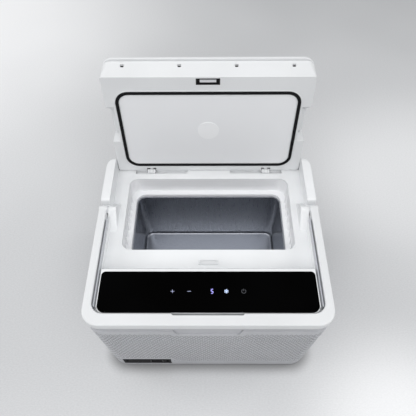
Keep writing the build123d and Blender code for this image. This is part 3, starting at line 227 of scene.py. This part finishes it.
def board_material(name):
    """Green solder mask over a pattern of copper tracks."""
    material, shader = new_material(name, (0.03, 0.16, 0.08), 0.35)
    tree = material.node_tree
    tracks = tree.nodes.new("ShaderNodeTexBrick")
    tracks.inputs["Scale"].default_value = TRACK_SCALE
    tracks.inputs["Color1"].default_value = (0.02, 0.14, 0.07, 1)
    tracks.inputs["Color2"].default_value = (0.03, 0.20, 0.10, 1)
    tracks.inputs["Mortar"].default_value = (0.10, 0.30, 0.14, 1)
    tree.links.new(coordinates(tree), tracks.inputs["Vector"])
    tree.links.new(tracks.outputs["Color"], shader.inputs["Base Color"])
    return material


def gloss_black(name):
    """Back-printed cover glass: deep black under a clear, anti-reflective face with faint haze."""
    material, shader = new_material(name, (0.001, 0.001, 0.001), 0.06)
    tree = material.node_tree
    tree.links.new(ramp(tree, noise(tree, 14.0, 5.0), 0.05, 0.10), shader.inputs["Roughness"])
    haze = ramp(tree, noise(tree, 5.0, 2.0), 0, 1)
    vary_color(tree, shader, haze, (0.0006, 0.0006, 0.0006), (0.0016, 0.0016, 0.0018))
    shader.inputs["Specular IOR Level"].default_value = 0.01
    return material


def lit(name, color, strength):
    """A lit segment or icon: milky plastic with a slightly uneven glow."""
    material, shader = new_material(name, tone(color, 0.6), 0.4)
    tree = material.node_tree
    shader.inputs["Emission Color"].default_value = (*color, 1)
    power = ramp(tree, noise(tree, 400.0, 1.0), strength * 0.85, strength * 1.1)
    tree.links.new(power, shader.inputs["Emission Strength"])
    return material


WHITE = (0.80, 0.81, 0.82)
# grey of the housing: partly its own tone, partly painted shade of its upright walls
HOUSING_GREY_AND_SHADE = (0.50, 0.505, 0.53)
# painted shade on the outer skirt of the white frame
SKIRT_SHADE = HOUSING_GREY_AND_SHADE
# painted shadow in the groove over the parting line
GROOVE_SHADOW = (0.16, 0.16, 0.17)
RAIL_LEVEL = TOP - 16.5 * MM     # top edge of the frame's outer skirt
SKIRT_REACH = 6 * MM             # how far in from the wall's line the skirt counts as outside
GROOVE_RISE = 1.4 * MM           # height of the painted shadow in the groove over the parting line


def frame_material(name):
    """White moulding with painted shade on its outer skirt, in the housing's grey, and a painted shadow
    in its parting groove.
    """
    material = moulded(name, tone(WHITE, 1.04), 0.42)
    tree = material.node_tree
    shader = tree.nodes["Principled BSDF"]
    gap, level = from_wall(tree, HALF_WIDTH, HALF_DEPTH, MID_Y, CORNER_RADIUS)
    outside = maths(tree, "GREATER_THAN", gap, -SKIRT_REACH)
    # painted shade on the outer skirt below the rail, then a painted shadow in the groove over the
    # parting line
    for limit, color in ((RAIL_LEVEL, SKIRT_SHADE), (SHELL_HIGH.z + GROOVE_RISE, GROOVE_SHADOW)):
        band = maths(tree, "MULTIPLY", outside, maths(tree, "LESS_THAN", level, limit))
        overlay(tree, shader, band, color)
    return material


MATERIALS = {
    "white_shell": moulded("white_shell", tone(WHITE, 0.95), 0.42),
    "textured_shell": moulded("textured_shell", HOUSING_GREY_AND_SHADE, 0.45, strength=0.15, coat=0.15),
    "lattice_face": moulded("lattice_face", tone(HOUSING_GREY_AND_SHADE, 0.98), 0.40, strength=0.1),
    # painted shade for the lower flanks between the studs
    "lattice_flank_shade": moulded("lattice_flank_shade", tone(HOUSING_GREY_AND_SHADE, 0.32), 0.55, strength=0.1),
    "frame_white": frame_material("frame_white"),
    "lid_white": moulded("lid_white", tone(WHITE, 0.96), 0.40),
    "lid_panel": moulded("lid_panel", (0.87, 0.875, 0.89), 0.38, grain=300.0, strength=0.03,
                         spread=0.008, coat=0.1, gloss_play=0.01),
    "liner_white": moulded("liner_white", (0.89, 0.895, 0.91), 0.32, strength=0.04, spread=0.01,
                           gloss_play=0.01),
    "tank_metal": metal("tank_metal", (0.37, 0.385, 0.42), 0.28, (30, 30, 1), strength=0.03,
                        spread=0.08),
    "coil_metal": metal("coil_metal", (0.68, 0.69, 0.70), 0.35, (1, 30, 30)),
    "foam": foam_material("foam", (0.82, 0.78, 0.62)),
    "black_glass": gloss_black("black_glass"),
    "black_plastic": moulded("black_plastic", (0.012, 0.012, 0.013), 0.5, specular=0.35),
    "dark_plate": moulded("dark_plate", (0.006, 0.006, 0.007), 0.6, specular=0.15),
    "dark_steel": metal("dark_steel", (0.013, 0.013, 0.015), 0.55, (1, 1, 12), 200.0),
    "satin_grey": moulded("satin_grey", (0.50, 0.515, 0.55), 0.22, strength=0.04, coat=0.3),
    "gasket_rubber": moulded("gasket_rubber", (0.008, 0.008, 0.009), 0.7, grain=500.0, strength=0.25,
                             specular=0.15),
    "foot_rubber": moulded("foot_rubber", (0.02, 0.02, 0.02), 0.75, grain=600.0, strength=0.4),
    "steel": metal("steel", (0.58, 0.58, 0.60), 0.30, (1, 1, 12), 200.0),
    "plate_steel": moulded("plate_steel", (0.04, 0.04, 0.043), 0.45, grain=350.0, strength=0.3),
    "compressor_black": moulded("compressor_black", (0.015, 0.015, 0.017), 0.25, grain=200.0,
                                strength=0.1),
    "copper": metal("copper", (0.72, 0.35, 0.20), 0.28, (1, 1, 10), 120.0),
    "board_green": board_material("board_green"),
    "light_guide": lit("light_guide", (0.55, 0.6, 1.0), 0.6),
    "bush_plastic": moulded("bush_plastic", (0.74, 0.75, 0.77), 0.35, strength=0.06),
    "plug_plastic": moulded("plug_plastic", (0.93, 0.935, 0.945), 0.38),
}


# pieces whose finish differs from that of their slot
OWN_FINISH = {
    "lid_front_screws": "dark_steel", "inlet_screws": "dark_steel", "top_frame": "frame_white",
    "handle_inner_shell": "satin_grey", "left_vent_grille": "textured_shell",
    "right_vent_grille": "textured_shell",
}


def dress(node, material):
    """Give a piece its finish."""
    NODES[node].data.materials.clear()
    NODES[node].data.materials.append(MATERIALS[material])


for entry in frame["record"]["subparts"]:
    dress(entry["node"], OWN_FINISH.get(entry["node"], entry["material_slot"]))


# ---------------------------------------------------------------- softened edges of the CAD pieces
# piece and width of its bevel in mm
SOFT_EDGES = {
    "top_frame": 1.2, "lid_frame": 0.9, "lid_cover": 0.5, "handle_outer_shell": 0.6, "outer_shell": 0.7,
    "cavity_liner": 0.7, "handle_inner_shell": 0.4, "lid_liner": 0.4, "lid_fill_plug": 0.4,
    "lid_gasket": 1.0, "latch_bezel": 0.3, "latch_tongue": 0.5, "catch_block": 0.4,
    "control_glass": 0.4, "hinge_brackets": 0.6, "hinge_leaves": 0.6, "inlet_plate": 0.4,
    "power_socket": 0.4, "left_vent_grille": 0.4, "right_vent_grille": 0.4, "inner_tank": 0.4,
    "handle_bushes": 0.4, "handle_pins": 0.4,
}
EDGE_ANGLE = math.radians(28)    # flatter edges stay as they are
BEVEL_STEPS = 3
WELD_REACH = 0.00002             # doubled points of the triangles within this distance are merged


def soften(node, width_mm):
    """Round the sharp edges of a piece with a small bevel."""
    obj = NODES[node]
    weld = obj.modifiers.new("weld", "WELD")
    weld.merge_threshold = WELD_REACH
    bevel = obj.modifiers.new("bevel", "BEVEL")
    bevel.width = width_mm * MM
    bevel.segments = BEVEL_STEPS
    bevel.limit_method = "ANGLE"
    bevel.angle_limit = EDGE_ANGLE
    bevel.use_clamp_overlap = True
    bevel.miter_outer = "MITER_ARC"


for node, width in SOFT_EDGES.items():
    soften(node, width)


# ---------------------------------------------------------------- small mesh helpers
def piece(name, bm, material, body):
    """Turn a bmesh into a piece that rides on a body."""
    bmesh.ops.recalc_face_normals(bm, faces=bm.faces)
    mesh = bpy.data.meshes.new(name)
    bm.to_mesh(mesh)
    bm.free()
    obj = bpy.data.objects.new(name, mesh)
    bpy.context.scene.collection.objects.link(obj)
    mesh.materials.append(material)
    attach(obj, body)
    return obj


def slab(bm, corners, low, high):
    """Closed block over a ring of points, between two levels."""
    ring_low = [bm.verts.new((c.x, c.y, low)) for c in corners]
    ring_high = [bm.verts.new((c.x, c.y, high)) for c in corners]
    count = len(corners)
    bm.faces.new(ring_low[::-1])
    bm.faces.new(ring_high)
    for i in range(count):
        j = (i + 1) % count
        bm.faces.new((ring_low[i], ring_low[j], ring_high[j], ring_high[i]))


# ---------------------------------------------------------------- embossed lattice of the housing
STUD_WIDTH = 8.0 * MM
STUD_HEIGHT = STUD_WIDTH / math.tan(math.radians(30))
STUD_RISE = 1.2 * MM
STUD_SINK = 0.3 * MM             # how far the foot reaches into the wall
STUD_CORNERS = ((0, 0.5), (0.5, 0), (0, -0.5), (-0.5, 0))
# rings of a stud from foot to top: share of its full outline, share of its rise
STUD_FOOT, STUD_MIDDLE, STUD_TOP = (0.99, 0.0), (0.74, 0.25), (0.25, 1.0)
FADE = 14 * MM                   # depth of the zones at the upper and lower edge with flatter studs
EDGE_RISE = 0.35                 # share of the rise left at those edges
LATTICE_TOP = SHELL_HIGH.z - 21 * MM
LATTICE_LOW = SHELL_LOW.z + 18 * MM
TOP_SLACK = 0.4 * STUD_HEIGHT    # the first row may stand this much over the upper edge


def wall_point(half_u, half_n, u, z, out):
    """Point of a face of the housing, u along it from its middle and on round the plan corners;
    returned as distance along the face and distance from the centre."""
    inset = wall_inset(z)
    flat = half_u - inset - CORNER_RADIUS
    over = abs(u) - flat
    if over <= 0:
        return u, half_n - inset + out
    angle = over / CORNER_RADIUS
    reach = CORNER_RADIUS + out
    along = flat + reach * math.sin(angle)
    return math.copysign(along, u), half_n - inset - CORNER_RADIUS + reach * math.cos(angle)


def lattice(name, half_u, half_n, turn, blocked):
    """Rows of raised rhombic studs over a drafted face, up to the middle of its corners;
    turn maps the distances along and out of the face to X and Y."""
    bm = bmesh.new()
    columns = int((half_u + CORNER_RADIUS) / STUD_WIDTH)
    rows = int((LATTICE_TOP - LATTICE_LOW) / STUD_HEIGHT) + 1
    for row in range(2 * rows):
        z = LATTICE_TOP - (row + 1) * STUD_HEIGHT / 2
        if z - STUD_HEIGHT / 2 < LATTICE_LOW:
            break
        limit = half_u - wall_inset(z) - CORNER_RADIUS * (1 - math.pi / 4)
        for column in range(-columns, columns + 1):
            u = (column + 0.5 * (row % 2)) * STUD_WIDTH
            edge = min(LATTICE_TOP + TOP_SLACK - z, z - LATTICE_LOW)
            if abs(u) > limit - STUD_WIDTH / 2 or edge < STUD_WIDTH / 2 or blocked(u, z):
                continue
            rise = STUD_RISE * min(1.0, EDGE_RISE + edge / FADE)
            rings = []
            for share, lift in (STUD_FOOT, STUD_MIDDLE, STUD_TOP):
                out = rise * lift if lift else -STUD_SINK
                ring = []
                for across, up in STUD_CORNERS:
                    level = z + up * share * STUD_HEIGHT
                    along = u + across * share * STUD_WIDTH
                    x, y = turn(*wall_point(half_u, half_n, along, level, out))
                    ring.append(bm.verts.new((x, y, level)))
                rings.append(ring)
            foot, middle, top = rings
            bm.faces.new(foot[::-1])
            bm.faces.new(top)
            # the lower flanks take the second material, a dark grey painted as the shade between the
            # studs
            for lower, upper, index in ((foot, middle, 1), (middle, top, 0)):
                for i in range(4):
                    j = (i + 1) % 4
                    face = bm.faces.new((lower[i], lower[j], upper[j], upper[i]))
                    face.material_index = index
    obj = piece(name, bm, MATERIALS["lattice_face"], "housing")
    obj.data.materials.append(MATERIALS["lattice_flank_shade"])


INLET_LOW, INLET_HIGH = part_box("inlet_plate")
VENT_LOW, VENT_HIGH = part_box("left_vent_grille")
SCOOP_HALF = 53 * MM             # finger scoop in the front
SCOOP_LOW = TOP - 50.6 * MM
CLEARANCE = 7 * MM               # plain margin round the inlet, the scoop and the vents


def near_box(u, z, u0, u1, z0, z1):
    """Whether a stud's middle falls in a rectangle of the face or its plain margin."""
    return u0 - CLEARANCE < u < u1 + CLEARANCE and z0 - CLEARANCE < z < z1 + CLEARANCE


def front_blocked(u, z):
    return (near_box(u, z, INLET_LOW.x, INLET_HIGH.x, INLET_LOW.z, INLET_HIGH.z)
            or near_box(u, z, -SCOOP_HALF, SCOOP_HALF, SCOOP_LOW, TOP))


def left_blocked(u, z):
    return near_box(MID_Y - u, z, VENT_LOW.y, VENT_HIGH.y, VENT_LOW.z, VENT_HIGH.z)


def right_blocked(u, z):
    return near_box(MID_Y + u, z, VENT_LOW.y, VENT_HIGH.y, VENT_LOW.z, VENT_HIGH.z)


def never(u, z):
    return False


lattice("front_lattice", HALF_WIDTH, HALF_DEPTH, lambda a, n: (a, MID_Y - n), front_blocked)
lattice("rear_lattice", HALF_WIDTH, HALF_DEPTH, lambda a, n: (-a, MID_Y + n), never)
lattice("left_lattice", HALF_DEPTH, HALF_WIDTH, lambda a, n: (-n, MID_Y - a), left_blocked)
lattice("right_lattice", HALF_DEPTH, HALF_WIDTH, lambda a, n: (n, MID_Y + a), right_blocked)


# ---------------------------------------------------------------- touch icons on the glass
ICON_Y = FRONT + 56.8 * MM       # line through the middles of the signs
ICON_RISE = 0.04 * MM
ICON_SINK = 0.05 * MM
SIGN_SIZE = 2.9 * MM             # half length of the plus and minus signs
STROKE = 0.65 * MM
DIM = lit("icon_dim", (0.10, 0.105, 0.12), 0.12)
SOFT = lit("icon_soft", (0.50, 0.55, 0.80), 0.45)
BRIGHT = lit("icon_bright", (0.62, 0.74, 1.0), 0.8)
VIOLET = lit("digit_violet", (0.42, 0.40, 1.0), 1.4)


def flat_bar(bm, x0, y0, x1, y1, width):
    """Thin lit bar between two points of the glass."""
    a, b = Vector((x0, y0, 0)), Vector((x1, y1, 0))
    along = (b - a).normalized() * width / 2
    across = Vector((-along.y, along.x, 0))
    corners = [a - across, b - across, b + across, a + across]
    slab(bm, corners, GLASS_TOP - ICON_SINK, GLASS_TOP + ICON_RISE)


def flat_arc(bm, x, y, radius, start, end, width, steps=20):
    """Lit arc made of short bars that meet end to end."""
    points = []
    for i in range(steps + 1):
        angle = math.radians(start + (end - start) * i / steps)
        points.append((x + radius * math.cos(angle), y + radius * math.sin(angle)))
    for (x0, y0), (x1, y1) in zip(points, points[1:]):
        flat_bar(bm, x0, y0, x1, y1, width)


def icon(name, x_mm, material, draw):
    """One lit sign of the panel."""
    bm = bmesh.new()
    draw(bm, x_mm * MM, ICON_Y)
    piece(name, bm, material, "housing")


def draw_minus(bm, x, y):
    flat_bar(bm, x - SIGN_SIZE, y, x + SIGN_SIZE, y, STROKE)


def draw_plus(bm, x, y):
    draw_minus(bm, x, y)
    flat_bar(bm, x, y - SIGN_SIZE, x, y + SIGN_SIZE, STROKE)


def draw_digit(bm, x, y, half=1.65 * MM, tall=3.6 * MM):
    """Slanted seven-segment five."""
    gap = 0.4 * MM
    width = 0.85 * MM
    lean = 0.08

    def segment(x0, y0, x1, y1):
        flat_bar(bm, x + x0 + lean * y0, y + y0, x + x1 + lean * y1, y + y1, width)

    for level in (-tall, 0, tall):
        segment(gap - half, level, half - gap, level)
    segment(-half, gap, -half, tall - gap)
    segment(half, gap - tall, half, -gap)


def draw_flake(bm, x, y, size=3.7 * MM):
    """Six-armed frost symbol with side twigs."""
    arm_width, twig_width = 0.7 * MM, 0.6 * MM
    twig_start, twig_length = 0.55 * size, 0.35 * size
    for i in range(6):
        angle = math.radians(60 * i + 30)
        dx, dy = math.cos(angle), math.sin(angle)
        flat_bar(bm, x, y, x + size * dx, y + size * dy, arm_width)
        for turn in (-50, 50):
            twig = angle + math.radians(turn)
            bx, by = x + twig_start * dx, y + twig_start * dy
            flat_bar(bm, bx, by, bx + twig_length * math.cos(twig), by + twig_length * math.sin(twig),
                     twig_width)


def draw_power(bm, x, y, size=3.4 * MM):
    """Open ring with a bar through its gap."""
    width = 0.8 * MM
    flat_arc(bm, x, y, size, 120, 420, width)
    flat_bar(bm, x, y + 0.3 * MM, x, y + size + width, width)


# name, place along the line in mm, glow, form
icon("icon_plus", -57.5, SOFT, draw_plus)
icon("icon_minus", -30.5, SOFT, draw_minus)
icon("icon_digit", 6.5, VIOLET, draw_digit)
icon("icon_flake", 29.5, BRIGHT, draw_flake)
icon("icon_power", 57.5, DIM, draw_power)


# ---------------------------------------------------------------- floor, light and camera
# painted pools of light on the floor: x and y of the centre, reach, strength
GLOWS = ((-0.90, 1.15, 1.20, 0.38), (0.36, -0.30, 0.28, 0.28), (0.52, 0.30, 0.45, 0.16))
# painted contact shadow round the foot of the body: from and to this distance, share of the dark colour
SHADE_FROM, SHADE_TO, SHADE_SHARE = -8 * MM, 30 * MM, 0.7
SHADE_GREY = (0.12, 0.12, 0.125)
FLOOR_HALF = 6.0


def glow(tree, x, y, reach, peak):
    """Smooth round patch of light on the floor, peak at its centre and nothing past its reach."""
    away = tree.nodes.new("ShaderNodeVectorMath")
    away.operation = "DISTANCE"
    away.inputs[1].default_value = (x, y, 0)
    tree.links.new(coordinates(tree), away.inputs[0])
    return ramp(tree, away.outputs["Value"], peak, 0.0, 0.0, reach, smooth=True)


def floor():
    """Pale brushed sheet under and behind the object, with painted pools of light and a painted shadow
    round its foot.
    The pools glow for the camera alone, so that they put no light on the object."""
    material, shader = new_material("floor_sheet", (0.66, 0.665, 0.675), 0.55)
    tree = material.node_tree
    grain = ramp(tree, noise(tree, 220.0, 4.0, (1, 2, 1), 0.75), -0.35, 0.55, 0.3, 0.7)
    mottle = ramp(tree, noise(tree, 1.4, 2.0), 0.0, 0.65)
    tones = (0.60, 0.605, 0.615), (0.70, 0.705, 0.715)
    vary_color(tree, shader, maths(tree, "ADD", grain, mottle), *tones)
    inset = wall_inset(0)
    gap, _ = from_wall(tree, HALF_WIDTH - inset, HALF_DEPTH - inset, MID_Y, CORNER_RADIUS)
    # painted contact shadow round the foot of the body
    near = ramp(tree, gap, SHADE_SHARE, 0.0, SHADE_FROM, SHADE_TO, smooth=True)
    overlay(tree, shader, near, SHADE_GREY)
    seen = tree.nodes.new("ShaderNodeLightPath").outputs["Is Camera Ray"]
    # painted pools of light, emitted for the camera alone
    patches = 0.0
    for place in GLOWS:
        patches = maths(tree, "ADD", patches, glow(tree, *place))
    shader.inputs["Emission Color"].default_value = (1, 1, 1, 1)
    tree.links.new(maths(tree, "MULTIPLY", patches, seen), shader.inputs["Emission Strength"])
    mesh = bpy.data.meshes.new("floor")
    corners = [(x * FLOOR_HALF, y * FLOOR_HALF, 0) for x, y in ((-1, -1), (1, -1), (1, 1), (-1, 1))]
    mesh.from_pydata(corners, [], [(0, 1, 2, 3)])
    obj = bpy.data.objects.new("floor", mesh)
    mesh.materials.append(material)
    bpy.context.scene.collection.objects.link(obj)


# soft boxes: name, place, width and height, power in watts
LIGHTS = (
    ("top_front", (-0.2, -0.45, 2.2), (2.6, 1.3), 12.5),
    ("top_rear", (-0.2, 0.75, 2.3), (2.6, 0.6), 2.5),
    ("front", (0.0, -1.8, 2.1), (2.4, 1.2), 26),
    ("left", (-2.2, 0.3, 1.4), (1.4, 1.4), 19),
    ("right", (2.2, 0.3, 1.4), (1.4, 1.4), 17),
)
LIGHT_TARGET = (0, 0, 0.2)
WORLD_COLOR, WORLD_STRENGTH = (0.96, 0.98, 1.0), 0.32


def area_light(name, place, size, power):
    """Soft box that faces the middle of the object."""
    light = bpy.data.lights.new(name, "AREA")
    light.shape = "RECTANGLE"
    light.size, light.size_y = size
    light.energy = power
    obj = bpy.data.objects.new(name, light)
    obj.location = place
    direction = Vector(LIGHT_TARGET) - Vector(place)
    obj.rotation_euler = direction.to_track_quat("-Z", "Y").to_euler()
    bpy.context.scene.collection.objects.link(obj)


def lights():
    for row in LIGHTS:
        area_light(*row)
    world = bpy.data.worlds.new("studio")
    world.use_nodes = True
    background = world.node_tree.nodes["Background"]
    background.inputs["Color"].default_value = (*WORLD_COLOR, 1)
    background.inputs["Strength"].default_value = WORLD_STRENGTH
    bpy.context.scene.world = world


# view fitted to the outline of the object in a frame of 416 x 416 pixels
FRAME_PIXELS = 416
FOCAL_PIXELS = 436.13
SENSOR_WIDTH = 36.0
PITCH, YAW, ROLL = 55.42, -0.73, 0.67      # degrees; pitch is downwards
EYE = Vector((5.11 * MM, FRONT - 231.54 * MM, TOP + 654.8 * MM))


def camera():
    pitch, yaw, roll = (math.radians(a) for a in (PITCH, YAW, ROLL))
    ahead = math.cos(pitch)
    forward = Vector((math.sin(yaw) * ahead, math.cos(yaw) * ahead, -math.sin(pitch)))
    level = Vector((math.cos(yaw), -math.sin(yaw), 0))
    drop = forward.cross(level)
    right = level * math.cos(roll) + drop * math.sin(roll)
    down = drop * math.cos(roll) - level * math.sin(roll)
    data = bpy.data.cameras.new("camera")
    data.sensor_width = SENSOR_WIDTH
    data.lens = data.sensor_width * FOCAL_PIXELS / FRAME_PIXELS
    data.clip_start = 0.01
    obj = bpy.data.objects.new("camera", data)
    turn = Matrix((right, -down, -forward)).transposed()
    obj.matrix_world = Matrix.Translation(EYE) @ turn.to_4x4()
    bpy.context.scene.collection.objects.link(obj)
    bpy.context.scene.camera = obj


floor()
lights()
camera()
bpy.context.scene.view_settings.view_transform = "Standard"
